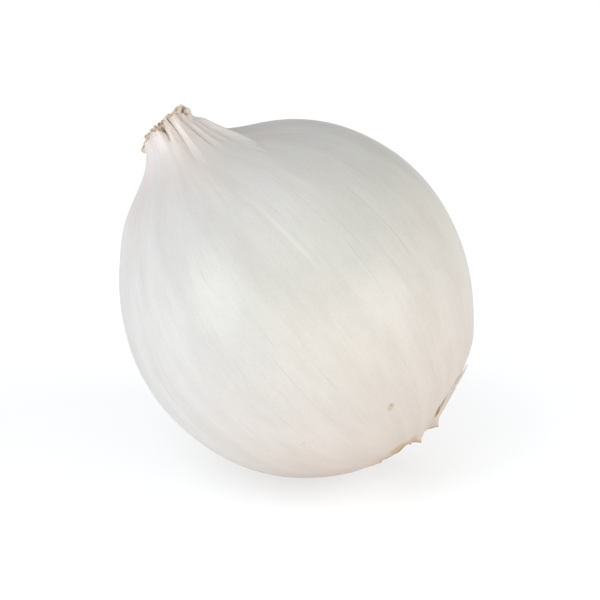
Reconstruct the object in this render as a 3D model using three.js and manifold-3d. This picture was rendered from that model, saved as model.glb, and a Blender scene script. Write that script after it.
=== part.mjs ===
// A white onion with its dry skin on, lying tilted on a table: the neck points up and to one side, the root end
// is turned down and away. Units are millimetres, +Z is up, and the origin is the middle of the small flat spot
// that the onion rests on.
//
// Each piece is drawn in the onion's own frame first, with the axis from root to neck along +Z and the widest
// girth at z = 0, and the whole group is then leaned over. An angle round the axis is counted from the side that
// ends up on top (+X), anticlockwise seen from the neck, so the underside of the leaned onion is at 180 degrees.
import * as THREE from "three";
import { ParametricGeometry } from "three/addons/geometries/ParametricGeometry.js";
import { mergeVertices } from "three/addons/utils/BufferGeometryUtils.js";
import Module from "manifold-3d";

const wasm = await Module();
wasm.setup();

const { degToRad, lerp, smoothstep, seededRandom } = THREE.MathUtils;

// Bulb
const girthRadius = 42.5;
const halfHeight = 45.6; // root end to girth, and girth to where the shoulders would close without a neck
const lean = 39; // degrees from upright to the axis
const restDepth = 0.8; // how much the weight of the onion presses flat
const shoulderTop = 60; // degrees up the bulb's ellipse where the neck curve takes over

// The bulb is a little fuller on one side: where, in degrees round the axis and up the ellipse, how far that
// spreads either way, and by how much.
const fullSide = { at: 28, up: 8, spreadRound: 60, spreadUp: 20, swell: 0.45 };

// Neck
const neckRadius = 7;
const neckTop = 53.8; // height of the cut end above the girth
const neckTwist = 17; // degrees that the gathered folds turn between shoulder and cut end
const wrapSide = 208; // the broad side of the neck, where the outer skin lies smooth
const wrapSwell = 2.2; // how much fuller the neck's foot is on that side
const mouthRadius = 5.4;
const mouthDepth = 3.2;

// Where the cut end is lower: the middle of each low stretch, its drop in mm and its width in degrees.
const rimDrops = [
  { at: 205, drop: 1.9, width: 34 },
  { at: 34, drop: 0.5, width: 20 },
  { at: -2, drop: 1.5, width: 13 },
  { at: -66, drop: 1.2, width: 8 },
];

// Folds in the gathered neck skin: where they start at the cut end, in degrees, how deep and wide they are
// there, in mm and degrees, and how far down from the cut end they run, in mm.
const folds = [
  { at: -100, depth: 0.35, width: 7, reach: 8 },
  { at: -68, depth: 0.45, width: 6, reach: 6 },
  { at: -44, depth: 1.0, width: 7, reach: 14 },
  { at: -18, depth: 0.95, width: 7, reach: 12 },
  { at: -1, depth: 0.7, width: 6, reach: 12 },
  { at: 15, depth: 0.8, width: 6, reach: 11 },
  { at: 36, depth: 0.8, width: 7, reach: 13 },
  { at: 60, depth: 0.6, width: 7, reach: 10 },
  { at: 86, depth: 0.9, width: 8, reach: 14 },
  { at: 114, depth: 0.6, width: 7, reach: 10 },
  { at: 140, depth: 0.8, width: 8, reach: 12 },
  { at: 172, depth: 0.4, width: 7, reach: 8 },
  { at: 212, depth: 0.35, width: 8, reach: 7 },
];

// Torn edge of the outermost skin, round the root end. These angles are degrees on the bulb's ellipse, which is
// at 0 at the girth and at -90 at the root.
const rootRing = -80.5; // where the skin turns in towards the root plate
const tornEdge = -76;
const tearSide = 28; // the side where the skin is torn furthest up
const tearHeight = 16; // and how much further up that is
const skinThickness = 0.6;
const skinLift = 0.45; // how far the loose edge stands off
const underSkin = -0.75; // the next skin, laid bare inside the torn edge

// Pointed tips of the torn edge: where they are round the axis, how far down they reach, in degrees on the
// ellipse, and how much they curl out, in mm.
const tornTips = [
  { at: -46, reach: 2.5, lift: 0.8 },
  { at: -8, reach: 3, lift: 1.5 },
  { at: 118, reach: 2.5, lift: 0.7 },
];

// Root plate and dried roots
const plateRadius = 6.5;
const plateSeat = -42.6; // height of the hollow's floor that the plate sits on
const plateThickness = 1.1;
const rootCount = 20;
const rootRadius = 0.5;
const rootLength = 2.6;

const clearance = 0.3; // between neighbouring pieces

const columns = 108; // round the bulb

// A bump of height 1 round an angle, in degrees, that fades out within a few widths.
function bump(angle, centre, width) {
  const away = ((((angle - centre) % 360) + 540) % 360) - 180;
  return Math.exp(-((away / width) ** 2));
}

// A spike of height 1 at an angle, with straight sides, as wide at its foot as the width either way.
function spike(angle, centre, width) {
  const away = ((((angle - centre) % 360) + 540) % 360) - 180;
  return Math.max(0, 1 - Math.abs(away) / width);
}

// A wavy outline from -1 to 1, the same after a full turn.
function waves(angle, counts, shift) {
  const turn = degToRad(angle);
  return counts.reduce((sum, count, i) => sum + Math.sin(count * turn + shift + 2.4 * i), 0) / counts.length;
}

// A point of the bulb's ellipse, as radius and height, lifted off along the ellipse's normal.
function onBulb(degrees, lift) {
  const t = degToRad(degrees);
  const normal = new THREE.Vector2(Math.cos(t) / girthRadius, Math.sin(t) / halfHeight).normalize();
  return new THREE.Vector2(girthRadius * Math.cos(t), halfHeight * Math.sin(t)).addScaledVector(normal, lift);
}

// The same with the fuller side's swelling.
function bulbSide(degrees, angle) {
  const round = bump(angle, fullSide.at, fullSide.spreadRound);
  return onBulb(degrees, fullSide.swell * round * bump(degrees, fullSide.up, fullSide.spreadUp));
}

// The neck's side, from the shoulder to the cut end: it leaves the bulb along the ellipse and turns upright.
function neckSide() {
  const t = degToRad(shoulderTop);
  const start = onBulb(shoulderTop, 0);
  const leaving = new THREE.Vector2(-girthRadius * Math.sin(t), halfHeight * Math.cos(t)).normalize();
  const shoulderPull = 10;
  const neckPull = 6.6;
  return new THREE.CubicBezierCurve(
    start,
    start.clone().addScaledVector(leaving, shoulderPull),
    new THREE.Vector2(neckRadius + 0.4, neckTop - neckPull),
    new THREE.Vector2(neckRadius, neckTop),
  );
}

// The gathered neck: folds, the smooth wrap on one side, and a ragged cut end with one edge curled out.
function gather(point, angle) {
  const fromTop = neckTop - point.y;
  const onNeck = THREE.MathUtils.clamp(point.x / neckRadius, 0, 1);
  const twist = neckTwist * smoothstep(fromTop, 0, 14);
  let inward = 0;
  for (const fold of folds) {
    inward += fold.depth * bump(angle + twist, fold.at, fold.width) * (1 - smoothstep(fromTop, 0, fold.reach));
  }
  const wrap = wrapSwell * Math.exp(-(((fromTop - 12) / 5) ** 2)) * Math.cos(degToRad(angle - wrapSide));
  const curl = 1.1 * bump(angle, wrapSide - 4, 20) * (1 - smoothstep(fromTop, 0, 2.5));
  const ragged = 0.7 * waves(angle, [3, 7, 11], 0.6) * (1 - smoothstep(fromTop, 0, 3));
  let drop = 0;
  for (const low of rimDrops) {
    drop += low.drop * bump(angle, low.at, low.width) * (1 - smoothstep(fromTop, 0, 5));
  }
  point.x += (wrap + curl - inward) * onNeck;
  point.y += (ragged - drop) * onNeck;
  return point;
}

// Where the outermost skin is torn off, as an angle on the ellipse, and how far its loose edge stands off.
function tornAt(angle) {
  const ragged = 1.6 * waves(angle, [5, 9, 14], 1.1);
  const tips = tornTips.reduce((sum, tip) => sum + tip.reach * spike(angle, tip.at, 11), 0);
  return tornEdge + tearHeight * bump(angle, tearSide, 30) + ragged - tips;
}

function liftAt(angle) {
  const wavy = skinLift * (0.6 + 0.4 * waves(angle, [4, 7, 13], 2.2));
  return tornTips.reduce((sum, tip) => sum + tip.lift * spike(angle, tip.at, 14), wavy);
}

// The bulb's surface as rings, from the middle of the root hollow to the bottom of the neck's mouth. Each ring
// is a function that gives its radius and height at an angle.
function bulbRings() {
  const rings = [];
  const ring = (at) => rings.push(at);
  ring(() => new THREE.Vector2(0, plateSeat));
  ring(() => new THREE.Vector2(plateRadius + clearance, plateSeat));
  ring(() => onBulb(rootRing, underSkin).setX(plateRadius + clearance + 0.15));

  // The skin beneath, the gap under the loose edge, and the loose edge itself
  ring((angle) => onBulb(lerp(rootRing, tornAt(angle), 0.5), underSkin));
  ring((angle) => onBulb(tornAt(angle), underSkin));
  ring((angle) => onBulb(tornAt(angle) + 2.2, underSkin + 0.15));
  ring((angle) => onBulb(tornAt(angle) - 0.5, liftAt(angle) - skinThickness));
  ring((angle) => onBulb(tornAt(angle) - 0.6, liftAt(angle)));
  ring((angle) => onBulb(tornAt(angle) + 2.2, 0.6 * liftAt(angle)));
  ring((angle) => onBulb(tornAt(angle) + 6, 0.2 * liftAt(angle)));

  const sides = 22;
  for (let i = 1; i <= sides; i++) {
    ring((angle) => gather(bulbSide(lerp(tornAt(angle) + 6, shoulderTop, i / sides), angle), angle));
  }
  const neck = neckSide();
  const neckSteps = 11;
  for (let i = 1; i <= neckSteps; i++) {
    ring((angle) => gather(neck.getPoint(i / neckSteps), angle));
  }

  // Over the cut edge and down into the mouth
  const wall = neckRadius - mouthRadius;
  ring((angle) => gather(new THREE.Vector2(neckRadius - wall / 2, neckTop + 0.25), angle));
  ring((angle) => gather(new THREE.Vector2(mouthRadius, neckTop), angle));
  ring((angle) => gather(new THREE.Vector2(mouthRadius - 0.3, neckTop - mouthDepth), angle));
  ring(() => new THREE.Vector2(0, neckTop - mouthDepth - 0.4));
  return rings;
}

// A closed surface of rings round the axis, the first and last of them points.
function ringedGeometry(rings, around) {
  const surface = (u, v, target) => {
    const angle = 360 * u;
    const at = rings[Math.round(v * (rings.length - 1))](angle);
    const turn = degToRad(angle);
    target.set(at.x * Math.cos(turn), at.x * Math.sin(turn), at.y);
  };
  return new ParametricGeometry(surface, around, rings.length - 1);
}

// Solids for joining and cutting, from closed geometries and back
function toSolid(geometry) {
  const bare = new THREE.BufferGeometry();
  bare.setAttribute("position", geometry.getAttribute("position"));
  bare.setIndex(geometry.getIndex());
  const merged = mergeVertices(bare, 1e-4);
  return new wasm.Manifold(
    new wasm.Mesh({
      numProp: 3,
      vertProperties: new Float32Array(merged.attributes.position.array),
      triVerts: new Uint32Array(merged.index.array),
    }),
  );
}

function toGeometry(solid) {
  const mesh = solid.getMesh();
  const geometry = new THREE.BufferGeometry();
  geometry.setAttribute("position", new THREE.BufferAttribute(mesh.vertProperties, 3));
  geometry.setIndex(new THREE.BufferAttribute(mesh.triVerts, 1));
  geometry.computeVertexNormals();
  return geometry;
}

// Where the leaned bulb's ellipse is lowest, in the onion's own frame: x across the axis, y along it.
function lowestPoint() {
  const across = girthRadius * Math.sin(degToRad(lean));
  const along = halfHeight * Math.cos(degToRad(lean));
  const reach = Math.hypot(across, along);
  return {
    depth: reach,
    point: new THREE.Vector2((-girthRadius * across) / reach, (-halfHeight * along) / reach),
  };
}

// The table, as a slab in the onion's own frame whose top cuts the flat spot.
function tableSlab() {
  const size = 200;
  const slab = new THREE.BoxGeometry(size, size, size);
  slab.translate(0, 0, -size / 2 - (lowestPoint().depth - restDepth));
  slab.rotateY(degToRad(lean));
  return toSolid(slab);
}

function bulb() {
  const solid = toSolid(ringedGeometry(bulbRings(), columns)).subtract(tableSlab());
  const skin = new THREE.MeshStandardMaterial({ color: 0xe6e2da, roughness: 0.45, metalness: 0 });
  const mesh = new THREE.Mesh(toGeometry(solid), skin);
  mesh.name = "bulb";
  return mesh;
}

// The dried leaf bases that the neck's skin is wrapped round: a crumpled, deeply folded plug in the mouth.
function dryLeafStub() {
  const floor = neckTop - mouthDepth + clearance;
  const top = neckTop + 0.4;
  const outer = mouthRadius - 1.1;
  const crumple = (angle, height) => 1 + 0.16 * waves(angle + 9 * height, [5, 8, 3], height);
  const ring = (radius, height, ragged) => (angle) =>
    new THREE.Vector2(radius * crumple(angle, height), height + ragged * waves(angle, [4, 9], 1.7));
  const rings = [
    () => new THREE.Vector2(0, floor),
    ring(outer - 0.6, floor, 0),
    ring(outer - 0.2, lerp(floor, top, 0.5), 0),
    ring(outer, top - 0.5, 0.3),
    ring(outer - 0.5, top, 0.5),
    ring(outer - 1.1, top - 0.4, 0.5),
    ring(outer - 1.9, top - 1.2, 0.2),
    ring(outer - 2.6, top - 0.1, 0.4),
    () => new THREE.Vector2(0, top - 0.9),
  ];
  const material = new THREE.MeshStandardMaterial({ color: 0xb98d63, roughness: 0.85, metalness: 0 });
  const mesh = new THREE.Mesh(toGeometry(toSolid(ringedGeometry(rings, 40))), material);
  mesh.name = "dry_leaf_stub";
  return mesh;
}

// One dried root: a short bent stub that starts inside the plate and points down and outward.
function driedRoot(index) {
  const random = (salt) => seededRandom(97 * index + salt);
  const spread = (plateRadius - 1.6) * Math.sqrt((index + 0.5) / rootCount);
  const turn = index * Math.PI * (3 - Math.sqrt(5));
  const foot = new THREE.Vector3(spread * Math.cos(turn), spread * Math.sin(turn), plateSeat - clearance - 0.6);
  const outward = new THREE.Vector3(Math.cos(turn), Math.sin(turn), 0);
  const length = rootLength * (0.75 + 0.4 * random(1));
  const bend = new THREE.Vector3(random(2) - 0.5, random(3) - 0.5, 0).multiplyScalar(0.9);
  const middle = foot.clone().addScaledVector(outward, 0.25 * length).add(bend);
  const tip = foot.clone().addScaledVector(outward, 0.5 * length);
  middle.z -= 0.5 * length;
  tip.z -= length;
  const section = new THREE.Shape();
  section.absarc(0, 0, rootRadius * (0.8 + 0.4 * random(4)), 0, 2 * Math.PI);
  return new THREE.ExtrudeGeometry(section, {
    curveSegments: 5,
    steps: 3,
    extrudePath: new THREE.QuadraticBezierCurve3(foot, middle, tip),
  });
}

// The root plate: a low disc in the hollow at the root end, with its dried roots grown out of it.
function rootPlate() {
  const inner = plateSeat - clearance;
  const outer = inner - plateThickness;
  const disc = ringedGeometry(
    [
      () => new THREE.Vector2(0, outer - 0.2),
      (angle) => new THREE.Vector2(0.6 * plateRadius, outer - 0.1 + 0.15 * waves(angle, [5, 8], 0.4)),
      (angle) => new THREE.Vector2(plateRadius - 0.5, outer + 0.35 + 0.1 * waves(angle, [6, 11], 0.9)),
      () => new THREE.Vector2(plateRadius - 0.1, inner - 0.4),
      () => new THREE.Vector2(plateRadius - 0.6, inner),
      () => new THREE.Vector2(0, inner),
    ],
    40,
  );
  let solid = toSolid(disc);
  for (let i = 0; i < rootCount; i++) {
    solid = solid.add(toSolid(driedRoot(i)));
  }
  const material = new THREE.MeshStandardMaterial({ color: 0xb79a72, roughness: 0.9, metalness: 0 });
  const mesh = new THREE.Mesh(toGeometry(solid), material);
  mesh.name = "root_plate";
  return mesh;
}

// Lean the onion over and set its flat spot on the origin.
const onion = new THREE.Group();
onion.add(bulb(), dryLeafStub(), rootPlate());
onion.rotation.y = -degToRad(lean);
const { depth, point } = lowestPoint();
const restAcross = point.x * Math.cos(degToRad(lean)) - point.y * Math.sin(degToRad(lean));
onion.position.set(-restAcross, 0, depth - restDepth);

const part = new THREE.Group();
part.add(onion);

export default part;
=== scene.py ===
# A white onion lying tilted, neck up and root end down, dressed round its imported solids.
# The dictionaries hold millimetres and degrees, and every mesh is made in metres.
from math import cos, radians, sin

import bpy
import numpy as np
from mathutils import Matrix, Vector


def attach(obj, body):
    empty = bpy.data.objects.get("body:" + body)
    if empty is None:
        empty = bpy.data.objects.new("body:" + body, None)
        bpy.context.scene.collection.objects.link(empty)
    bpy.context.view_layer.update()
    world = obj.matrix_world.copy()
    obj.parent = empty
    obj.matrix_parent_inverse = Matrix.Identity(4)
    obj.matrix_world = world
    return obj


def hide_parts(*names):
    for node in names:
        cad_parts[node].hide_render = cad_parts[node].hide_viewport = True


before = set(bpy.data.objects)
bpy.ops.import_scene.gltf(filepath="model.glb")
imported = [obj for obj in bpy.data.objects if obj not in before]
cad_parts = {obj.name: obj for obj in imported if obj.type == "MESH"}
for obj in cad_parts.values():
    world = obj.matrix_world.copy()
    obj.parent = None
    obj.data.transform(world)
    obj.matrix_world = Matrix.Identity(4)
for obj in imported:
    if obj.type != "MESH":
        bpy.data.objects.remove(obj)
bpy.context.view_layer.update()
print("frame loaded:", ", ".join(sorted(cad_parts)))

mm = 0.001

# The bulb as it grew: an ellipse turned round its axis, with the neck on top. Angles round the axis count
# from the side that lies on top, and angles up the ellipse are -90 at the root and 0 at the girth.
bulb = {
    "girthRadius": 42.5,
    "halfHeight": 45.6,
    "lean": 39,
    "restDepth": 0.8,
    "shoulderTop": 60,
    "fullAt": 28,  # the fuller side, round the axis
    "fullUp": 8,
    "fullSpreadRound": 60,
    "fullSpreadUp": 20,
    "fullSwell": 0.45,
}


def wrapped(angle):
    # the same angle between -180 and 180
    return (angle + 180) % 360 - 180


def bump(angle, centre, width):
    # exp(-(distance / width)^2): 1 at the centre, smooth
    return np.exp(-(wrapped(angle - centre) / width) ** 2)


def crease(angle, centre, width):
    # exp(-|distance| / width): 1 at the centre, where it comes to a sharp line
    return np.exp(-np.abs(wrapped(angle - centre)) / width)


def spike(angle, centre, width):
    # 1 - |distance| / width, and 0 beyond
    return np.maximum(0, 1 - np.abs(wrapped(angle - centre)) / width)


def fade(value, low, high):
    # t^2 (3 - 2 t), with t running from 0 at low to 1 at high
    t = np.clip((value - low) / (high - low), 0, 1)
    return t * t * (3 - 2 * t)


def waves(angle, counts, shift):
    # the mean of sin(count * angle + shift + 2.4 i): the same after a full turn
    turn = np.radians(angle)
    return sum(np.sin(count * turn + shift + 2.4 * i) for i, count in enumerate(counts)) / len(counts)


def fineWaves(angle, along, low, high, seed):
    # 20 cosines round the axis with seeded counts, sizes and phases that drift along the second value
    rng = np.random.default_rng(seed)
    total = 0
    for count in rng.integers(low, high, 20):
        phase, drift = rng.uniform(0, 6.28), rng.normal(0, 1.2)
        total = total + np.cos(count * np.radians(angle) + phase + drift * along) * rng.uniform(0.5, 1)
    return total / 4


def onBulb(up, lift):
    # a point of the ellipse (a cos up, b sin up), moved out along its normal
    t = np.radians(up)
    across, along = np.cos(t) / bulb["girthRadius"], np.sin(t) / bulb["halfHeight"]
    size = np.hypot(across, along)
    radius = bulb["girthRadius"] * np.cos(t) + lift * across / size
    height = bulb["halfHeight"] * np.sin(t) + lift * along / size
    return radius, height


def leaned(x, y, z):
    # turns the onion's own frame by the lean about Y, lifts it onto its flat spot, and gives metres
    lean = np.radians(bulb["lean"])
    across, along = bulb["girthRadius"] * np.sin(lean), bulb["halfHeight"] * np.cos(lean)
    reach = np.hypot(across, along)
    restX = (-bulb["girthRadius"] * across * np.cos(lean) + bulb["halfHeight"] * along * np.sin(lean)) / reach
    worldX = x * np.cos(lean) - z * np.sin(lean) - restX
    worldZ = x * np.sin(lean) + z * np.cos(lean) + reach - bulb["restDepth"]
    worldZ = np.maximum(worldZ, 0)  # the table presses the bulb flat
    return np.stack(np.broadcast_arrays(worldX, y, worldZ), -1) * mm


def roundAxis(radius, height, angle):
    # radius and height at an angle round the onion's axis, as points of the leaned onion
    turn = np.radians(angle)
    return leaned(radius * np.cos(turn), radius * np.sin(turn), height)


def makeMesh(name, parts):
    # each part is points (n, 3), faces (m, 4) with -1 for the missing corner of a triangle, and values per
    # point by name; the parts become one mesh
    starts = np.cumsum([0] + [len(part[0]) for part in parts])
    points = np.vstack([part[0] for part in parts])
    faces = np.vstack([np.where(part[1] < 0, -1, part[1] + start) for part, start in zip(parts, starts)])
    sizes = (faces >= 0).sum(1)
    mesh = bpy.data.meshes.new(name)
    mesh.vertices.add(len(points))
    mesh.vertices.foreach_set("co", points.astype(np.float32).ravel())
    mesh.loops.add(int(sizes.sum()))
    mesh.loops.foreach_set("vertex_index", faces[faces >= 0].astype(np.int32))
    mesh.polygons.add(len(faces))
    mesh.polygons.foreach_set("loop_start", np.concatenate([[0], np.cumsum(sizes)[:-1]]).astype(np.int32))
    mesh.polygons.foreach_set("use_smooth", np.ones(len(faces), bool))
    for key in parts[0][2]:
        value = np.concatenate([part[2][key] for part in parts])
        isVector = value.ndim == 2
        layer = mesh.attributes.new(key, "FLOAT_VECTOR" if isVector else "FLOAT", "POINT")
        layer.data.foreach_set("vector" if isVector else "value", value.astype(np.float32).ravel())
    mesh.update(calc_edges=True)
    piece = bpy.data.objects.new(name, mesh)
    bpy.context.scene.collection.objects.link(piece)
    return piece


def gridFaces(rows, columns, wrap):
    # quads between neighbouring rows and columns, the last column joined to the first if it wraps
    across = columns if wrap else columns - 1
    row, column = np.meshgrid(np.arange(rows - 1), np.arange(across), indexing="ij")
    following = (column + 1) % columns
    corners = [row * columns + column, row * columns + following]
    corners += [(row + 1) * columns + following, (row + 1) * columns + column]
    return np.stack([c.ravel() for c in corners], 1)


def turned(grid, values):
    # a closed surface from rings (rows, columns, 3): each end is closed with a fan round the ring's middle
    rows, columns = grid.shape[:2]
    first, last = rows * columns, rows * columns + 1
    points = np.vstack([grid.reshape(-1, 3), grid[0].mean(0), grid[-1].mean(0)])
    ring = np.arange(columns)
    following = (ring + 1) % columns
    gone = np.full(columns, -1)
    bottom = np.stack([np.full(columns, first), following, ring, gone], 1)
    top = np.stack([np.full(columns, last), ring, following, gone], 1)
    top[:, 1:3] += (rows - 1) * columns
    faces = np.vstack([gridFaces(rows, columns, True), bottom, top])
    closed = {}
    for key, value in values.items():
        value = np.broadcast_to(value, (rows, columns) + value.shape[2:])
        flat = value.reshape(rows * columns, *value.shape[2:])
        closed[key] = np.concatenate([flat, value[0].mean(0)[None], value[-1].mean(0)[None]])
    return points, faces, closed


def sheet(grid, thickness, wrap, values):
    # a thin sheet with both faces and its edges: the middle surface (rows, columns, 3) moved by half the
    # thickness to either side along its normal
    rows, columns = grid.shape[:2]
    alongRows = np.gradient(grid, axis=0)
    alongColumns = np.roll(grid, -1, 1) - np.roll(grid, 1, 1) if wrap else np.gradient(grid, axis=1)
    normal = np.cross(alongColumns, alongRows)
    normal /= np.maximum(np.linalg.norm(normal, axis=-1, keepdims=True), 1e-12)
    offset = normal * np.broadcast_to(np.asarray(thickness) * mm / 2, grid.shape[:2])[..., None]
    count = rows * columns
    points = np.vstack([(grid + offset).reshape(-1, 3), (grid - offset).reshape(-1, 3)])
    outer = gridFaces(rows, columns, wrap)
    index = np.arange(count).reshape(rows, columns)
    if wrap:
        edges = [np.append(index[0], index[0, 0]), np.append(index[-1], index[-1, 0])[::-1]]
    else:
        edges = [index[0], index[-1][::-1], index[:, 0][::-1], index[:, -1]]
    walls = [np.stack([e[1:], e[:-1], e[:-1] + count, e[1:] + count], 1) for e in edges]
    both = {}
    for key, value in values.items():
        value = np.broadcast_to(value, (rows, columns) + value.shape[2:])
        flat = value.reshape(count, *value.shape[2:])
        both[key] = np.concatenate([flat, flat])
    return points, np.vstack([outer, outer[:, ::-1] + count] + walls), both


def dress(piece, material, node):
    # gives a piece its material and its body, and hides the solid that it stands for
    piece.data.materials.append(material)
    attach(piece, "root")
    if node:
        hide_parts(node)
    return piece


# Node helpers
def addNode(tree, kind, inputs=None, **settings):
    # a node with its settings and its inputs: another node's output is linked, anything else is set
    made = tree.nodes.new(kind)
    for key, value in settings.items():
        setattr(made, key, value)
    for key, value in (inputs or {}).items():
        if isinstance(value, bpy.types.NodeSocket):
            tree.links.new(value, made.inputs[key])
        else:
            made.inputs[key].default_value = value
    return made


def tone(red, green, blue):
    # an sRGB colour in 0 to 255 as linear light
    channels = [c / 255 for c in (red, green, blue)]
    return [c / 12.92 if c <= 0.04045 else ((c + 0.055) / 1.055) ** 2.4 for c in channels] + [1]


def ramp(tree, factor, stops, smooth=True):
    # a colour for each factor, from stops of (position, colour)
    made = addNode(tree, "ShaderNodeValToRGB", {"Fac": factor})
    made.color_ramp.interpolation = "EASE" if smooth else "LINEAR"
    elements = made.color_ramp.elements
    while len(elements) < len(stops):
        elements.new(0.5)
    for element, (position, colour) in zip(elements, stops):
        element.position = position
        element.color = colour
    return made.outputs["Color"]


def stretchedNoise(tree, place, scale, detail, roughness):
    # noise with its own scale along each axis
    moved = addNode(tree, "ShaderNodeMapping", {"Vector": place, "Scale": scale}).outputs[0]
    inputs = {"Vector": moved, "Scale": 1.0, "Detail": detail, "Roughness": roughness}
    return addNode(tree, "ShaderNodeTexNoise", inputs).outputs["Fac"]


def between(tree, value, low, high, toLow=0.0, toHigh=1.0):
    # low to high mapped onto toLow to toHigh, smoothly, and held at the ends
    inputs = {"Value": value, "From Min": low, "From Max": high, "To Min": toLow, "To Max": toHigh}
    return addNode(tree, "ShaderNodeMapRange", inputs, interpolation_type="SMOOTHSTEP").outputs["Result"]


def maths(tree, operation, first, second, clamp=False):
    # one sum on two values
    made = addNode(tree, "ShaderNodeMath", {0: first, 1: second}, operation=operation, use_clamp=clamp)
    return made.outputs[0]


def shifted(tree, value, noise, amount):
    # value + (noise - 0.5) * amount
    return maths(tree, "ADD", value, maths(tree, "MULTIPLY", maths(tree, "SUBTRACT", noise, 0.5), amount))


def alongDirection(tree, place, direction):
    # the dot product of a place and a direction
    made = addNode(tree, "ShaderNodeVectorMath", {0: place, 1: tuple(direction)}, operation="DOT_PRODUCT")
    return made.outputs["Value"]


def mixed(tree, factor, first, second, blend="MIX"):
    # the second colour over the first, or blended with it, by the factor
    inputs = {0: factor, 6: first, 7: second}  # the Mix node's sockets for colours
    return addNode(tree, "ShaderNodeMix", inputs, data_type="RGBA", blend_type=blend).outputs[2]


def darkened(tree, colour, pattern, low, high, darkest, share):
    # a share of the colour times a tint: the darkest where the pattern is at low, and white from high up
    tint = ramp(tree, pattern, [(low, darkest), (high, tone(255, 255, 255))])
    return mixed(tree, share, colour, tint, "MULTIPLY")


def attribute(tree, name, output="Fac"):
    # a value kept at each point of the mesh
    return addNode(tree, "ShaderNodeAttribute", attribute_name=name).outputs[output]


def newMaterial(name):
    # a material, its node tree and its shader
    material = bpy.data.materials.new(name)
    material.use_nodes = True
    tree = material.node_tree
    return material, tree, tree.nodes["Principled BSDF"]


def finish(tree, shader, colour, roughness, relief, look):
    # puts colour, roughness and relief on the shader, with the gloss, bump and scatter of a look
    tree.links.new(colour, shader.inputs["Base Color"])
    tree.links.new(roughness, shader.inputs["Roughness"])
    inputs = {"Height": relief, "Strength": look["bump"], "Distance": look["bumpHeight"]}
    bumped = addNode(tree, "ShaderNodeBump", inputs).outputs[0]
    tree.links.new(bumped, shader.inputs["Normal"])
    shader.inputs["Specular IOR Level"].default_value = look["gloss"]
    if "scatter" in look:
        shader.inputs["Subsurface Weight"].default_value = look["scatter"]
        shader.inputs["Subsurface Radius"].default_value = look["scatterColours"]
        shader.inputs["Subsurface Scale"].default_value = look["scatterDepth"]


# Outer skin
skin = {
    "columns": 640,
    "sideRows": 52,
    "neckRows": 40,
    "neckRadius": 7,
    "neckTop": 53.8,
    "neckTwist": 17,
    "wrapSide": 208,
    "wrapSwell": 2.2,
    "collar": 0.6,
    "collarSide": 24,
    "mouthRadius": 5.9,
    "mouthDepth": 4.2,
    "rootRing": -80.5,
    "tornEdge": -76,
    "tearSide": 28,
    "tearHeight": 16,
    "nearTearSide": -90,
    "nearTearHeight": 5,
    "nearUnder": 0.5,
    "nearBrownAndShade": 0.55,
    "sheet": 0.16,
    "lift": 0.45,
    "underSkin": -0.75,
    "gap": 5,  # how far up the ellipse the gap under the loose edge runs
    "plateRadius": 6.5,
    "plateSeat": -42.6,
    "fineRelief": 0.004,
    "broadRelief": 0.024,
}
# The cut end of the neck: where it stands lower, by how much (less than 0 is higher), and how wide
rimDrops = [
    (205, 1.9, 34), (4, 1.7, 16), (-30, -1.3, 18), (-50, -1.1, 8), (-68, 1.6, 6),
    (-90, -0.7, 12), (-120, 0.3, 14), (104, 0.4, 16), (160, 0.5, 14),
]
# Pointed tips of the torn edge: where, how far they reach, how far they stand off, and how wide
tornTips = [(-46, 3.2, 1.5, 8), (-17.5, 0.8, 1.7, 4.5), (-6, 2, 0.2, 8), (118, 2.5, 0.7, 8)]
# Folds of the neck: where they start at the cut end, depth, width, and how far down they run
folds = [
    (-100, 0.3, 7, 8), (-68, 0.45, 6, 6), (-44, 1.0, 7, 14), (-18, 0.95, 7, 12), (-1, 0.7, 6, 12),
    (15, 0.8, 6, 11), (36, 0.8, 7, 13), (60, 0.6, 7, 10), (86, 0.9, 8, 14), (114, 0.6, 7, 10),
    (140, 0.8, 8, 12), (172, 0.4, 7, 8), (212, 0.35, 8, 7),
]
# Sharp creases in the folds, and fine ones between them, the same way
creases = [
    (-68, 0.9, 2.5, 5), (-44, 0.5, 2, 15), (-18, 0.5, 2, 14), (-1, 0.35, 2, 13), (9, 0.3, 2, 12),
    (36, 0.4, 2, 14), (60, 0.35, 2, 12), (86, 0.4, 2, 15), (114, 0.35, 2, 11), (140, 0.4, 2, 13),
    (172, 0.3, 2, 9), (-56, 0.12, 2, 6), (-33, 0.16, 2, 9), (-26, 0.12, 2, 7), (-9, 0.16, 2, 8),
    (26, 0.2, 2, 9), (48, 0.2, 2, 9), (73, 0.2, 2, 9), (100, 0.2, 2, 8), (127, 0.2, 2, 8),
    (156, 0.2, 2, 8), (-112, 0.1, 2, 7), (196, 0.15, 2, 7),
]
# Raised pleats, or hollows where the height is negative, that run from the cut end onto the shoulder: where,
# height, width, reach, and how many degrees they turn for each millimetre down
pleats = [
    (24, 0.5, 9, 20, 2.9), (58, -3.3, 23, 30, 2.9), (-30, 0.35, 10, 22, 1.5), (2, 0.3, 7, 15, 2.2),
    (-72, 0.25, 14, 30, 0.5), (-100, 0.22, 10, 34, 0.3), (-128, 0.25, 12, 36, 0.2), (62, 0.35, 12, 24, 2.0),
    (100, 0.35, 12, 26, 1.5), (150, 0.3, 14, 28, 1.0), (190, 0.25, 14, 30, 0.5),
]
# Pleats with a sharp ridge, the same way
sharpPleats = [
    (24, 1.9, 3.0, 22, 2.9), (-6, 0.6, 3, 15, 2.0), (-34, 0.55, 3, 15, 1.5), (-58, 0.3, 3, 13, 1.2),
    (10, 0.7, 2.5, 16, 2.6), (36, 0.7, 3, 14, 2.9), (-18, 0.5, 2.5, 14, 1.8), (70, 0.4, 4, 18, 2.0),
    (128, 0.4, 4, 18, 1.4),
]
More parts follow.
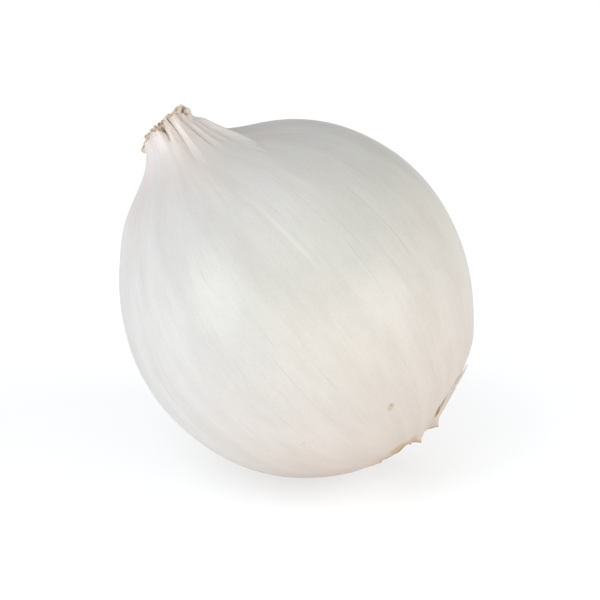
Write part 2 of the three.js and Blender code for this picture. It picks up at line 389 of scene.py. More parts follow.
# Where the loose skin bags out or lies closer: round the axis, up the ellipse, spreads, and by how much
bagged = [
    (-1, -47, 26, 6.5, 0.7), (-8, -64, 22, 5, -0.5), (-100, -70, 40, 7, 0.25),
    (-152, 30, 35, 14, -0.3), (28, 48, 22, 8, -0.25), (-150, -36, 35, 14, 0.25),
]
# A slit in the skin near the root end: its ends round the axis and up the ellipse, the share of its length
# that stays closed, from the top, and its width and depth
slit = {
    "top": (-12.5, -58.5),
    "bottom": (-23.5, -70),
    "closed": 0.4,
    "width": 2.3,
    "depth": 0.3,
}


def tornAt(angle):
    # where the outermost skin is torn off, up the ellipse: waves, two bumps and the pointed tips
    ragged = 1.6 * waves(angle, [5, 9, 14], 1.1) + 0.35 * fineWaves(angle, 0, 18, 60, 3)
    tips = sum(reach * spike(angle, at, width) for at, reach, lift, width in tornTips)
    high = skin["tearHeight"] * bump(angle, skin["tearSide"], 30)
    high = high + skin["nearTearHeight"] * bump(angle, skin["nearTearSide"], 30)
    return skin["tornEdge"] + high + ragged - tips


def liftAt(angle):
    # how far the loose edge stands off
    wavy = skin["lift"] * (0.6 + 0.4 * waves(angle, [4, 7, 13], 2.2) + 0.25 * fineWaves(angle, 0, 12, 40, 8))
    return wavy + sum(lift * spike(angle, at, 1.6 * width) for at, reach, lift, width in tornTips)


def gather(radius, height, angle):
    # the neck: folds pressed in, pleats raised, the smooth wrap on one side, the ragged cut end and its lip
    fromTop = skin["neckTop"] - height
    onNeck = np.clip(radius / skin["neckRadius"], 0, 1)
    twist = skin["neckTwist"] * fade(fromTop, 0, 14)
    inward = 0
    for at, depth, width, reach in folds:
        inward = inward + depth * bump(angle + twist, at, width) * (1 - fade(fromTop, 0, reach))
    for at, depth, width, reach in creases:
        inward = inward + depth * crease(angle + twist, at, width) * (1 - fade(fromTop, 0.3 * reach, reach))
    for at, rise, width, reach, turn in pleats:
        along = fade(fromTop, 0, 3) * (1 - fade(fromTop, 0.35 * reach, reach))
        inward = inward - rise * bump(angle + turn * fromTop, at, width) * along
    for at, rise, width, reach, turn in sharpPleats:
        along = fade(fromTop, 1, 5) * (1 - fade(fromTop, 0.5 * reach, reach))
        inward = inward - rise * crease(angle + turn * fromTop, at, width) * along
    swell = skin["wrapSwell"] * np.exp(-((fromTop - 12) / 5) ** 2)
    wrap = swell * np.cos(np.radians(angle - skin["wrapSide"]))
    curl = 1.1 * bump(angle, skin["wrapSide"] - 4, 20) * (1 - fade(fromTop, 0, 2.5))
    collar = skin["collar"] * bump(angle, skin["collarSide"], 32) * (1 - fade(fromTop, 0.7, 2.6))
    collar = collar + 0.22 * fineWaves(angle, 0, 22, 70, 6) * (1 - fade(fromTop, 0, 2.2))
    ragged = 0.5 * waves(angle, [3, 7, 11], 0.6) + 0.3 * fineWaves(angle, 0, 14, 60, 5)
    drop = sum(low * bump(angle, at, width) for at, low, width in rimDrops)
    radius = radius + (wrap + curl + collar - inward) * onNeck
    cut = ragged * (1 - fade(fromTop, 0, 3)) - drop * (1 - fade(fromTop, 0, 5))
    return radius, height + cut * onNeck


def slitPart(up):
    # how far down the slit: 0 at its top and above, 1 at its bottom and below
    return np.clip((up - slit["top"][1]) / (slit["bottom"][1] - slit["top"][1]), 0, 1)


def slitAngleAt(up):
    # the slit's line: top + (bottom - top) * part^0.9, as an angle round the axis
    return slit["top"][0] + (slit["bottom"][0] - slit["top"][0]) * slitPart(up) ** 0.9


def slitGape(up):
    # sin(pi * part)^0.7, with part from 0 to 1 along the open share of the slit, and 0 beyond its ends
    part = np.clip((slitPart(up) - slit["closed"]) / (1 - slit["closed"]), 0, 1)
    return np.maximum(np.sin(np.pi * part), 0) ** 0.7


def inSlit(angle, up):
    # exp(-(distance / half width)^2), and 0 beyond the ends
    half = slit["width"] * slitGape(up)
    away = np.radians(wrapped(angle - slitAngleAt(up))) * onBulb(up, 0)[0]
    return np.exp(-(away / np.maximum(half, 0.05)) ** 2) * (half > 0.05)


def bulbSide(up, angle):
    # the ellipse, fuller on one side, with the loose skin's bagging
    swell = bulb["fullSwell"] * bump(angle, bulb["fullAt"], bulb["fullSpreadRound"])
    swell = swell * bump(up, bulb["fullUp"], bulb["fullSpreadUp"])
    for at, high, spreadRound, spreadUp, out in bagged:
        swell = swell + out * bump(angle, at, spreadRound) * bump(up, high, spreadUp)
    return onBulb(up, swell - slit["depth"] * inSlit(angle, up))


def neckSide(steps):
    # a cubic curve that leaves the bulb along the ellipse and ends upright at the cut
    t = np.radians(bulb["shoulderTop"])
    start = np.array(onBulb(bulb["shoulderTop"], 0))
    leaving = np.array([-bulb["girthRadius"] * np.sin(t), bulb["halfHeight"] * np.cos(t)])
    leaving /= np.linalg.norm(leaving)
    shoulderPull, neckPull = 10, 6.6
    third = np.array([skin["neckRadius"] + 0.4, skin["neckTop"] - neckPull])
    end = np.array([skin["neckRadius"], skin["neckTop"]])
    s = steps[:, None]
    points = (1 - s) ** 3 * start + 3 * (1 - s) ** 2 * s * (start + shoulderPull * leaving)
    points = points + 3 * (1 - s) * s ** 2 * third + s ** 3 * end
    return points[:, 0][:, None], points[:, 1][:, None]


def skinRings():
    # rings from the middle of the root hollow, under and over the loose edge, up the side and neck, and down
    # into the mouth, as radius and height (rows, columns), with how dry and how bare the skin is there; the
    # dryness also carries painted shade in the gap under the loose edge
    angle = np.arange(skin["columns"]) * 360 / skin["columns"]
    torn, lift = tornAt(angle), liftAt(angle)
    under = skin["underSkin"] + skin["nearUnder"] * bump(angle, skin["nearTearSide"], 45)
    sections = []

    def ring(radius, height, dry=0.0, bare=0.0):
        arrays = np.broadcast_arrays(radius, height, dry, bare, angle)[:4]
        sections.append(np.stack([np.atleast_2d(a) for a in arrays]))

    # the hollow that the root plate sits in
    hollowRadius = skin["plateRadius"] + 0.3
    for part in (0.35, 0.7, 1):
        ring(hollowRadius * part, skin["plateSeat"], 0.5, 1)
    rimHeight = onBulb(skin["rootRing"], under)[1]
    for part in (0.3, 0.65, 1):
        ring(hollowRadius + 0.15 * part, skin["plateSeat"] + (rimHeight - skin["plateSeat"]) * part, 0.4, 1)
    # the bare skin underneath, as far as the torn edge and on under it
    for part in np.linspace(0.15, 1, 6):
        ring(*onBulb(skin["rootRing"] + (torn - skin["rootRing"]) * part, under), 0.2 + 0.1 * part, 1)
    # painted shade: the dryness rises to dark brown going into the gap under the loose edge and stays there
    # along the edge's underside, partly the torn skin's own brown
    for part in np.linspace(0.15, 1, 6):
        ring(*onBulb(torn + skin["gap"] * part, under + 0.25 * part), 0.2 + 0.8 * part, 1)
    # back along the inside of the loose edge, round the edge and up its outside
    inner = lift - skin["sheet"]
    for part in np.linspace(0.05, 0.95, 6)[::-1]:
        ring(*onBulb(torn - 0.5 + (skin["gap"] + 0.5) * part, inner * (1 - part) - 0.45 * part), 1, 0)
    for down, out in ((0.5, skin["sheet"]), (0.6, 0.5 * skin["sheet"]), (0.5, 0)):
        ring(*onBulb(torn - down, lift - out), 0.9, 0)
    for part in np.linspace(0.06, 1, 14) ** 1.3:
        ring(*onBulb(torn - 0.5 + 6.5 * part, lift * (1 - part) ** 1.5), 0.8 * np.exp(-part * 9), 0)
    # the side and the neck
    steps = (np.arange(1, skin["sideRows"] + 1) / skin["sideRows"])[:, None]
    up = torn + 6 + (bulb["shoulderTop"] - torn - 6) * steps
    ring(*gather(*bulbSide(up, angle), angle))
    neck = neckSide(np.arange(1, skin["neckRows"] + 1) / skin["neckRows"])
    ring(*gather(*neck, angle))
    # over the cut end and down into the mouth
    wall = skin["neckRadius"] - skin["mouthRadius"]
    for part in np.linspace(0.15, 0.85, 5):
        arch = 0.2 * np.sin(np.pi * part)
        ring(*gather(skin["neckRadius"] - wall * part, skin["neckTop"] + arch, angle), 0.22, 0)
    for part in np.linspace(0, 1, 7):
        inside = gather(skin["mouthRadius"] - 0.5 * part, skin["neckTop"] - skin["mouthDepth"] * part, angle)
        ring(*inside, 0.3 + 0.6 * part, 0)
    for part in (0.7, 0.35):
        ring((skin["mouthRadius"] - 1) * part, skin["neckTop"] - skin["mouthDepth"] - 0.2, 1, 0)
    return angle, np.concatenate(sections, 1)


def skinDrynessAndShade(dry, radius, height, angle):
    # the sum of the dry parts and the painted shade: the dry cut end, darker lines along the creases and
    # beside the sharp pleats near it, the curled lip, the brown hem of the torn edge with painted shade under
    # it, and painted shade in the slit
    fromTop = skin["neckTop"] - height
    onNeck = radius < 12
    reach = np.maximum(1.0 + 0.9 * fineWaves(angle, 0, 16, 80, 12), 0.3)
    rim = 0.2 + 0.16 * fineWaves(angle, fromTop, 40, 120, 13)
    rim = rim * (1 - fade(fromTop, 0, reach)) * onNeck
    twist = skin["neckTwist"] * fade(fromTop, 0, 14)
    # darker lines along the creases and beside the sharp pleats near the cut end
    inCreases = 0
    for at, depth, width, reach in creases:
        line = 0.8 * depth * crease(angle + twist, at, 1.1)
        inCreases = inCreases + line * (1 - fade(fromTop, 0.1 * reach, reach))
    inPleats = 0
    for at, rise, width, reach, turn in sharpPleats:
        line = 0.42 * crease(angle + turn * fromTop, at + 1.3 * width, 1.1) * fade(fromTop, 0, 2)
        inPleats = inPleats + line * (1 - fade(fromTop, 0.15 * reach, 0.9 * reach))
    lip = 0.42 * bump(angle, skin["wrapSide"] - 4, 22) * (1 - fade(fromTop, 2.2, 3.6)) * onNeck
    up = np.degrees(np.arctan2(height / bulb["halfHeight"], radius / bulb["girthRadius"]))
    # the hem: a tan band of dry skin along the torn edge, running on under it as painted shade on the bare
    # skin below
    patchy = np.clip(0.95 + 0.22 * fineWaves(angle, 0, 8, 30, 14), 0, 1.2)
    hemAndShade = skin["nearBrownAndShade"] * bump(angle, skin["nearTearSide"] + 20, 30) * patchy
    hemAndShade = hemAndShade * (1 - fade(up - tornAt(angle), 3, 6 + 6 * patchy)) * (up < 0)
    # painted shade in the slit: dark olive-brown down its gap, partly the brown of its torn inner edges
    return np.clip(dry + rim + inCreases + inPleats + lip + hemAndShade + 0.9 * inSlit(angle, up) ** 2, 0, 1)


def skinValues(angle, height, dry, bare):
    # the skin's own coordinates (cos, sin, share of the way up), and the dryness, which also carries painted
    # shade, and the bareness per point
    share = (height + bulb["halfHeight"]) / (skin["neckTop"] + bulb["halfHeight"])
    turn = np.radians(angle)
    place = np.stack(np.broadcast_arrays(np.cos(turn), np.sin(turn), share), -1)
    dry, bare = [np.broadcast_to(value, place.shape[:2]) for value in (dry, bare)]
    return {"skinPlace": place, "drynessAndShade": dry, "bareness": bare}


def makeSkin():
    # the rings with two layers of fine waves on their radius, which fade out towards the poles
    angle, (radius, height, dry, bare) = skinRings()
    share = (height + bulb["halfHeight"]) / (skin["neckTop"] + bulb["halfHeight"])
    relief = skin["fineRelief"] * fineWaves(angle, 6 * share, 40, 150, 1)
    relief = (relief + skin["broadRelief"] * fineWaves(angle, 3 * share, 6, 22, 2)) * fade(radius, 4, 20)
    shape = roundAxis(radius + relief * (1 - dry), height, angle)
    values = skinValues(angle, height, skinDrynessAndShade(dry, radius, height, angle), bare)
    return makeMesh("outer_skin", [turned(shape, values)])


# Skin material
skinTones = {
    "coolRoot": tone(229, 214, 203),
    "coolLow": tone(231, 225, 220),
    "coolGirth": tone(231, 231, 231),
    "coolShoulder": tone(231, 232, 233),
    "coolNeck": tone(239, 233, 233),
    "warmRoot": tone(228, 215, 204),
    "warmLow": tone(233, 225, 217),
    "warmBelly": tone(235, 231, 223),
    "warmGirth": tone(227, 227, 220),
    "warmShoulder": tone(231, 231, 230),
    "warmNeck": tone(243, 236, 231),
    "dryPale": tone(230, 212, 200),
    "dryMiddle": tone(207, 178, 145),
    # the darkest dry tone is also the colour of the painted shade in the slit and under the loose edge
    "dryDarkAndShade": tone(134, 98, 56),
    "bare": tone(226, 218, 190),
    "clouds": tone(240, 239, 237),
    "mottle": tone(240, 239, 236),
    "streaks": tone(241, 239, 236),
    "veins": tone(206, 200, 190),
    "fineVeins": tone(244, 242, 238),
    "grain": tone(244, 243, 241),
}
skinFinish = {
    "smoothest": 0.29,
    "roughest": 0.38,
    "rougherDry": 0.3,
    "gloss": 0.5,
    "bump": 0.45,
    "bumpHeight": 0.00009,
    "scatter": 0.12,
    "scatterColours": (1.0, 0.8, 0.55),
    "scatterDepth": 0.002,
    "warmSide": -8,  # degrees round the axis
}
# Marks on the skin: angle round the axis, angle up the ellipse, radius in mm, colour, strength
skinSpots = [
    (-58.3, -40.6, 1.3, tone(204, 178, 128), 0.55),
    (-57.6, -39.9, 0.7, tone(186, 152, 92), 0.6),
    (-59.2, -41.4, 0.5, tone(190, 160, 104), 0.5),
    (-95, -32, 0.3, tone(176, 158, 140), 0.7),
    (-24.2, -68.6, 1.6, tone(208, 162, 100), 0.75),
    # the next two are dark olive-brown painted shade down the slit's gap
    (-21.8, -66.6, 1.1, tone(112, 84, 40), 0.85),
    (-19.8, -65.0, 0.8, tone(140, 110, 56), 0.7),
    (-18, -63.5, 2.0, tone(206, 184, 132), 0.6),
    (1.2, 42.6, 0.35, tone(120, 116, 112), 0.75),
    (-26.6, 62.8, 0.4, tone(184, 178, 176), 0.6),
]
# Long streaks along the skin: angle round the axis, width, from and to up the ellipse, tint, strength
skinStreaks = [
    (-50, 1.6, 4, 52, tone(248, 246, 240), 0.3),
    (-53, 2.2, 12, 58, tone(206, 204, 196), 0.25),
    (-61, 0.5, -70, -36, tone(186, 176, 164), 0.3),
    (-21, 0.35, -14, 34, tone(186, 178, 166), 0.35),
    (-36, 0.3, -12, 22, tone(186, 180, 168), 0.3),
    (-69.5, 0.3, -16, 12, tone(186, 182, 170), 0.3),
    (-84, 0.35, 14, 46, tone(190, 188, 184), 0.3),
    (-104.5, 0.35, 12, 44, tone(190, 188, 184), 0.3),
]


def spotFactor(tree, place, angle, up, size):
    # 1 inside a small spot on the skin and 0 round it, from the distance to its middle
    middle = roundAxis(*onBulb(up, 0), angle)
    away = addNode(tree, "ShaderNodeVectorMath", {0: place, 1: tuple(middle)}, operation="DISTANCE")
    return between(tree, away.outputs["Value"], 0.3 * size * mm, size * mm, 1.0, 0.0)


def streakFactor(tree, place, share, wander, angle, width, low, high):
    # 1 along one meridian between two heights: the distance from the plane through the axis, on its own side
    turn = np.radians(angle)
    side = alongDirection(tree, place, (-np.sin(turn), np.cos(turn), 0))
    away = maths(tree, "ABSOLUTE", maths(tree, "ADD", side, wander), 0.0)
    facing = alongDirection(tree, place, (np.cos(turn), np.sin(turn), 0))
    line = between(tree, away, 0.0, np.radians(width), 1.0, 0.0)
    line = maths(tree, "MULTIPLY", line, between(tree, facing, 0.1, 0.5))
    whole = bulb["halfHeight"] + skin["neckTop"]
    lowEnd, highEnd = [(onBulb(up, 0)[1] + bulb["halfHeight"]) / whole for up in (low, high)]
    line = maths(tree, "MULTIPLY", line, between(tree, share, lowEnd, lowEnd + 0.12))
    return maths(tree, "MULTIPLY", line, between(tree, share, highEnd - 0.12, highEnd, 1.0, 0.0))


def skinMaterial():
    # a cool and a warm row of tones up the skin, mixed by side, darkened by the patterns, and over them the
    # streaks, the bare patch, the spots, and the dried parts with the painted shade in the slit and under the
    # loose edge
    material, tree, shader = newMaterial("dry onion skin")
    place = attribute(tree, "skinPlace", "Vector")
    # the dryness, which also carries the painted shade of the slit, the gap under the loose edge and the hem
    dry = attribute(tree, "drynessAndShade")
    objectPlace = addNode(tree, "ShaderNodeTexCoord").outputs["Object"]
    share = addNode(tree, "ShaderNodeSeparateXYZ", {0: place}).outputs["Z"]

    clouds = stretchedNoise(tree, place, (5, 5, 4), 4, 0.55)
    mottle = stretchedNoise(tree, place, (13, 13, 16), 4, 0.6)
    streaks = stretchedNoise(tree, place, (15, 15, 3.2), 4, 0.6)
    veins = stretchedNoise(tree, place, (46, 46, 5), 3, 0.55)
    fineVeins = stretchedNoise(tree, place, (105, 105, 9), 2, 0.6)
    patches = stretchedNoise(tree, place, (2.2, 2.2, 3), 3, 0.5)
    grain = stretchedNoise(tree, objectPlace, (2600, 2600, 2600), 2, 0.6)

    height = shifted(tree, share, patches, 0.3)
    cool = ramp(tree, height, [
        (0.02, skinTones["coolRoot"]), (0.22, skinTones["coolLow"]), (0.5, skinTones["coolGirth"]),
        (0.8, skinTones["coolShoulder"]), (0.97, skinTones["coolNeck"]),
    ], smooth=False)
    warm = ramp(tree, height, [
        (0.02, skinTones["warmRoot"]), (0.2, skinTones["warmLow"]), (0.4, skinTones["warmBelly"]),
        (0.58, skinTones["warmGirth"]), (0.8, skinTones["warmShoulder"]), (0.97, skinTones["warmNeck"]),
    ], smooth=False)
    side = np.radians(skinFinish["warmSide"])
    facing = alongDirection(tree, place, (np.cos(side), np.sin(side), 0))
    colour = mixed(tree, between(tree, shifted(tree, facing, clouds, 0.5), -0.25, 0.75), cool, warm)

    colour = darkened(tree, colour, clouds, 0.3, 0.68, skinTones["clouds"], 0.5)
    colour = darkened(tree, colour, mottle, 0.34, 0.6, skinTones["mottle"], 0.16)
    colour = darkened(tree, colour, streaks, 0.32, 0.62, skinTones["streaks"], 0.13)
    # Thin darker veins, only here and there
    thin = maths(tree, "MULTIPLY", between(tree, veins, 0.6, 0.68), between(tree, patches, 0.4, 0.6))
    colour = mixed(tree, maths(tree, "MULTIPLY", thin, 0.3), colour, skinTones["veins"])
    colour = darkened(tree, colour, fineVeins, 0.35, 0.65, skinTones["fineVeins"], 0.2)
    colour = darkened(tree, colour, grain, 0.3, 0.7, skinTones["grain"], 0.5)

    wander = maths(tree, "MULTIPLY", maths(tree, "SUBTRACT", patches, 0.5), 0.12)
    for angle, width, low, high, tint, strength in skinStreaks:
        factor = streakFactor(tree, place, share, wander, angle, width, low, high)
        factor = maths(tree, "MULTIPLY", factor, between(tree, streaks, 0.3, 0.6, 0.4, 1.0))
        colour = mixed(tree, maths(tree, "MULTIPLY", factor, strength), colour, tint)
    bare = maths(tree, "MULTIPLY", attribute(tree, "bareness"), 0.8)
    colour = mixed(tree, bare, colour, skinTones["bare"])
    for angle, up, size, spotTone, strength in skinSpots:
        inSpot = maths(tree, "MULTIPLY", spotFactor(tree, objectPlace, angle, up, size), strength)
        colour = mixed(tree, inSpot, colour, spotTone)
    # the dry tones, whose darkest end also paints the shade in the slit and under the loose edge
    dryAndShadeTone = ramp(tree, shifted(tree, dry, streaks, 0.6), [
        (0.1, skinTones["dryPale"]), (0.6, skinTones["dryMiddle"]), (1.0, skinTones["dryDarkAndShade"]),
    ])
    colour = mixed(tree, between(tree, dry, 0.03, 0.5), colour, dryAndShadeTone)

    rough = between(tree, clouds, 0.3, 0.7, skinFinish["smoothest"], skinFinish["roughest"])
    rough = maths(tree, "ADD", rough, maths(tree, "MULTIPLY", dry, skinFinish["rougherDry"]), True)
    relief = maths(tree, "MULTIPLY", veins, 0.25)
    for pattern, height in ((fineVeins, 0.18), (mottle, 0.4), (grain, 0.2)):
        relief = maths(tree, "ADD", relief, maths(tree, "MULTIPLY", pattern, height))
    finish(tree, shader, colour, rough, relief, skinFinish)
    return material


skinLook = skinMaterial()
outerSkin = dress(makeSkin(), skinLook, "bulb")
print("outer skin made:", len(outerSkin.data.polygons), "faces")

# Loose strip of skin beside the slit, with a free upper end
strip = {
    "rows": 60,
    "columns": 40,
    "width": 30,  # degrees round the axis, as the gape
    "narrowest": 0.2,  # the share of the width at the top
    "gape": 5,
    "thickness": 0.12,
    "lift": 0.03,
}
# A splinter of skin that stands off above the strip: its foot and tip round the axis and up the ellipse
splinter = {
    "rows": 24,
    "columns": 7,
    "foot": (-7, -59),
    "tip": (1.8, -53.4),
    "footLift": 0.1,
    "tipLift": 0.9,
    "width": 0.75,
    "thickness": 0.14,
}


def makeStrip():
    # a sheet beside the slit: it stands off most near the slit and ends under the skin on the other side
    down = np.linspace(0, 1, strip["rows"])[:, None]
    across = np.linspace(0, 1, strip["columns"])[None, :]
    up = slit["top"][1] + (slit["bottom"][1] - slit["top"][1]) * down
    narrow = strip["narrowest"] + (1 - strip["narrowest"]) * fade(down, 0, 0.4)
    angle = slitAngleAt(up) + strip["gape"] * slitGape(up) + strip["width"] * narrow * across
    stand = strip["lift"] * np.sin(np.pi * down) + 0.02
    stand = stand * (1 - fade(across, 0.35, 1)) + 0.03 * fineWaves(down * 90, across, 4, 14, 21)
    shiftedUp = up + 1.5 * across - 0.6 * waves(across * 220, [3, 5], 0.4)
    lift = stand - 0.25 * fade(across, 0.55, 1)
    for at, high, spreadRound, spreadUp, out in bagged:
        lift = lift + out * bump(angle, at, spreadRound) * bump(shiftedUp, high, spreadUp)
    radius, height = onBulb(shiftedUp, lift)
    edge = np.minimum(np.minimum(across, 0.4), np.minimum(down, 1 - down) * 2)
    dry = 0.35 * np.exp(-edge * 40) + 0.04
    values = skinValues(angle, height, dry, 0.35 + 0 * dry)
    return sheet(roundAxis(radius, height, angle), strip["thickness"], False, values)


def makeSplinter():
    # a narrow ribbon that leaves the skin at its foot, leans outward and stands off towards its tip
    along = np.linspace(0, 1, splinter["rows"])[:, None]
    across = np.linspace(-1, 1, splinter["columns"])[None, :]
    angle, up = [foot + (tip - foot) * along for foot, tip in zip(splinter["foot"], splinter["tip"])]
    half = 0.5 * splinter["width"] * np.sqrt(1 - 0.96 * along)
    lift = splinter["footLift"] + (splinter["tipLift"] - splinter["footLift"]) * along + half * across
    radius, height = onBulb(up, lift)
    sideways = np.degrees(half * across / radius)
    values = skinValues(angle, height, 0 * radius, 0 * radius)
    return sheet(roundAxis(radius, height, angle + sideways), splinter["thickness"], False, values)


dress(makeMesh("loose_strip", [makeStrip(), makeSplinter()]), skinLook, None)
print("loose strip made")

# Dried leaf bases in the mouth of the neck: crinkled sheets one inside the other
leaves = {
    "rows": 22,
    "columns": 180,
    "radii": (5.1, 4.1, 3.0, 1.9, 0.9),
    "bottom": 50.6,
    "top": 54.1,
    "crinkle": 0.2,
    "thickness": 0.16,
    "raisedAt": 40,  # the side where they stick out furthest
    "raised": 0.8,
    "flare": 0.16,
}


def leafSheet(index, radius):
    # a ring whose radius and top edge are waved, more so further up
    angle = np.arange(leaves["columns"]) * 360 / leaves["columns"]
    up = np.linspace(0, 1, leaves["rows"])[:, None]
    crumple = waves(angle + 40 * up, [3, 5, 8], 1.7 * index)
    crumple = crumple + 0.6 * fineWaves(angle, 2 * up, 9, 30, 31 + index)
    flare = leaves["flare"] * up ** 3 * bump(angle, leaves["raisedAt"], 60)
    around = radius * (1 + leaves["crinkle"] * (0.3 + 0.7 * up) * crumple + flare)
    ragged = 0.35 * waves(angle, [4, 7, 13], index) + 0.16 * fineWaves(angle, 0, 20, 60, 41 + index)
    raised = leaves["raised"] * bump(angle, leaves["raisedAt"], 55) * (0.95 - 0.12 * index)
    top = leaves["top"] - 0.25 * index + ragged + raised
    height = leaves["bottom"] + (top - leaves["bottom"]) * up
    turn = np.radians(angle)
    place = np.stack(np.broadcast_arrays(np.cos(turn), np.sin(turn), height / 20), -1)
    top = np.broadcast_to(up ** 2, height.shape)
    inner = np.full(height.shape, index / (len(leaves["radii"]) - 1))
    values = {"leafPlace": place, "leafTop": top, "leafInner": inner}
    return sheet(roundAxis(around, height, angle), leaves["thickness"], True, values)


leafTones = {
    "pale": tone(236, 220, 208),
    "tan": tone(216, 186, 162),
    "orange": tone(210, 132, 58),
    "brown": tone(178, 110, 56),
}


leafFinish = {
    "smoothest": 0.55,
    "roughest": 0.75,
    "gloss": 0.35,
    "bump": 0.6,
    "bumpHeight": 0.00015,
    "scatter": 0.1,
    "scatterColours": (1.0, 0.5, 0.25),
    "scatterDepth": 0.001,
}


def leafMaterial():
    # a tone by 0.55 * inner + 0.5 * (1 - top), moved about by the blotches and the fibres
    material, tree, shader = newMaterial("dried leaf bases")
    place = attribute(tree, "leafPlace", "Vector")
    fibres = stretchedNoise(tree, place, (14, 14, 3), 4, 0.6)
    blotches = stretchedNoise(tree, place, (3, 3, 4), 3, 0.6)
    inner = maths(tree, "MULTIPLY", attribute(tree, "leafInner"), 0.55)
    low = maths(tree, "MULTIPLY", maths(tree, "SUBTRACT", 1.0, attribute(tree, "leafTop")), 0.5)
    depth = shifted(tree, shifted(tree, maths(tree, "ADD", inner, low), blotches, 0.9), fibres, 0.5)
    colour = ramp(tree, depth, [
        (0.15, leafTones["pale"]), (0.5, leafTones["tan"]),
        (0.75, leafTones["orange"]), (1.0, leafTones["brown"]),
    ])
    rough = between(tree, fibres, 0.3, 0.7, leafFinish["smoothest"], leafFinish["roughest"])
    finish(tree, shader, colour, rough, fibres, leafFinish)
    return material


leafSheets = [leafSheet(index, radius) for index, radius in enumerate(leaves["radii"])]
dress(makeMesh("dry_leaves", leafSheets), leafMaterial(), "dry_leaf_stub")
print("dried leaf bases made")

# Root plate with the dried roots
roots = {
    "plateColumns": 144,
    "plateRings": 12,
    "plateThickness": 1.1,
    "count": 46,
    "clearance": 0.3,
    "radius": 0.34,
    "length": 2.1,
    "bend": 0.75,
    "around": 8,
    "along": 16,
}


def rootPlate():
    # a bumpy disc: rings out over its outer face, round its edge and back over its inner face
    angle = np.arange(roots["plateColumns"]) * 360 / roots["plateColumns"]
    seat = skin["plateSeat"] - roots["clearance"]
    edge = skin["plateRadius"] - 0.15
    face = edge * np.linspace(0.95, 0.1, roots["plateRings"])
    over = np.linspace(0.3, 2.8, 6)
    distance = np.concatenate([face[::-1], edge * (0.95 + 0.05 * np.sin(over)), face])[:, None]
    outside = np.concatenate([1 + 0 * face, 0.5 + 0.5 * np.cos(over), 0 * face])[:, None]
    rough = 0.16 * fineWaves(angle, distance, 5, 26, 51) + 0.1 * waves(angle, [3, 4], 0.2)
    radius = distance * (1 + 0.03 * waves(angle, [5, 8, 13], 0.5))
    height = seat - roots["plateThickness"] * outside + rough * outside * fade(distance, 0, 1.5)
    turn = np.radians(angle)
    place = np.stack(np.broadcast_arrays(radius * np.cos(turn), radius * np.sin(turn), height), -1) / 10
    return turned(roundAxis(radius, height, angle), {"rootPlace": place, "rootTip": np.zeros(height.shape)})


def rootTubes():
    # every root at once: a tapered tube along a bent path, its foot on a spiral over the plate
    rng = np.random.default_rng(7)
    count, around, along = roots["count"], roots["around"], roots["along"]
    index = np.arange(count)
    spread = (skin["plateRadius"] - 0.9) * np.sqrt((index + 0.5) / count)
    side = index * np.radians(137.5) + rng.normal(0, 0.12, count)
    length = roots["length"] * rng.uniform(0.35, 1.0, count)
    thick = roots["radius"] * rng.uniform(0.65, 1.15, count)
    s = np.linspace(0, 1, along)[None, :]
    outward = (roots["bend"] * spread / skin["plateRadius"] * length)[:, None] * s ** 1.6
    curl = rng.normal(0, 0.5, (count, 1)) * s ** 2 + 0.12 * np.sin(s * 7 + rng.uniform(0, 6, (count, 1)))
    foot = skin["plateSeat"] - roots["clearance"] - roots["plateThickness"] + 0.35
    pathX = (spread[:, None] + outward) * np.cos(side)[:, None] - curl * np.sin(side)[:, None]
    pathY = (spread[:, None] + outward) * np.sin(side)[:, None] + curl * np.cos(side)[:, None]
    pathZ = foot - length[:, None] * s
    path = np.stack([pathX, pathY, pathZ], -1)
    ahead = np.gradient(path, axis=1)
    ahead /= np.linalg.norm(ahead, axis=-1, keepdims=True)
    first = np.cross(ahead, np.array([0.0, 1.0, 0.2]))
    first /= np.linalg.norm(first, axis=-1, keepdims=True)
    second = np.cross(ahead, first)
    wrinkle = 1 + 0.15 * np.sin(s * 25 + rng.uniform(0, 6, (count, 1)))
    size = thick[:, None] * (1.15 - 0.75 * s) * wrinkle
    size[:, -1] *= 0.35
    turn = np.arange(around) * 2 * np.pi / around
    circle = first[:, :, None] * np.cos(turn)[:, None] + second[:, :, None] * np.sin(turn)[:, None]
    points = path[:, :, None] + size[:, :, None, None] * circle
    world = leaned(points[..., 0], points[..., 1], points[..., 2])
    tip = np.broadcast_to(s[..., None], points.shape[:3])
    return [turned(world[i], {"rootPlace": points[i] / 10, "rootTip": tip[i]}) for i in range(count)]


rootTones = {
    "foot": tone(150, 118, 80),
    "dull": tone(186, 156, 112),
    "pale": tone(214, 192, 152),
    "tip": tone(120, 88, 54),
}
rootFinish = {
    "smoothest": 0.65,
    "roughest": 0.85,
    "gloss": 0.3,
    "bump": 0.7,
    "bumpHeight": 0.0003,
}


def rootMaterial():
    # a tone by half the way to the root's tip, moved about by the crumbs and the blotches
    material, tree, shader = newMaterial("dried roots")
    place = attribute(tree, "rootPlace", "Vector")
    tip = maths(tree, "MULTIPLY", attribute(tree, "rootTip"), 0.5)
    crumbs = stretchedNoise(tree, place, (26, 26, 26), 4, 0.65)
    blotches = stretchedNoise(tree, place, (6, 6, 6), 3, 0.5)
    colour = ramp(tree, shifted(tree, shifted(tree, tip, crumbs, 0.7), blotches, 0.7), [
        (0.0, rootTones["foot"]), (0.35, rootTones["dull"]),
        (0.7, rootTones["pale"]), (1.0, rootTones["tip"]),
    ])
    rough = between(tree, crumbs, 0.3, 0.7, rootFinish["smoothest"], rootFinish["roughest"])
    finish(tree, shader, colour, rough, crumbs, rootFinish)
    return material


rootLook = rootMaterial()
dress(makeMesh("root_plate_disc", [rootPlate()]), rootLook, "root_plate")
dress(makeMesh("dried_roots", rootTubes()), rootLook, None)
print("root plate and roots made")

# Camera, at the photograph's viewing angle, in degrees and millimetres
camera = {
    "azimuth": 16.69,
    "elevation": 24.91,
    "distance": 848.2,
    "aim": (-3.0, 0, 43.6),
    "aimRight": 1.0,
    "aimUp": -0.68,
    "widthSeen": 147.7,
}


